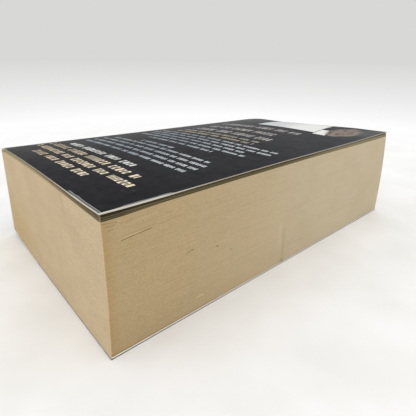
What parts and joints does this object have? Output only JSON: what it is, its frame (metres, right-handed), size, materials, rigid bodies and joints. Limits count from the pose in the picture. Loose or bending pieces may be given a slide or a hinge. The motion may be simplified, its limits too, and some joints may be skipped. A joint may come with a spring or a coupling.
{
  "type": "paperback book",
  "caption": "Thick rack-size paperback book lying on its front cover, with plain black card covers that open on their scored hinges and a swollen, toned page block.",
  "frame": {"origin": "middle of the footprint, on the table", "axes": "+X from the spine to the fore-edge, +Y from head to tail, +Z from the front cover up to the back cover"},
  "size_m": [0.1068, 0.172, 0.0475],
  "materials": {
    "pages": "matt uncoated groundwood paper, toned by age",
    "glue": "cloudy hot-melt adhesive",
    "cover_card": "black printed card under a satin film laminate"
  },
  "bodies": {
    "book": {"page_block": "pages", "spine_glue": "glue", "spine": "cover_card"},
    "front": {"front_cover": "cover_card"},
    "back": {"back_cover": "cover_card"}
  },
  "joints": [
    {"name": "back_cover_hinge", "type": "hinge", "parent": "book", "child": "back", "pos_m": [-0.04585, 0, 0.04405], "axis": [0, -0.9998, 0.018], "range_deg": [0, 175]},
    {"name": "front_cover_hinge", "type": "hinge", "parent": "book", "child": "front", "pos_m": [-0.04585, 0, 0.00095], "axis": [0, 1, -0.0064], "range_deg": [0, 175]}
  ]
}
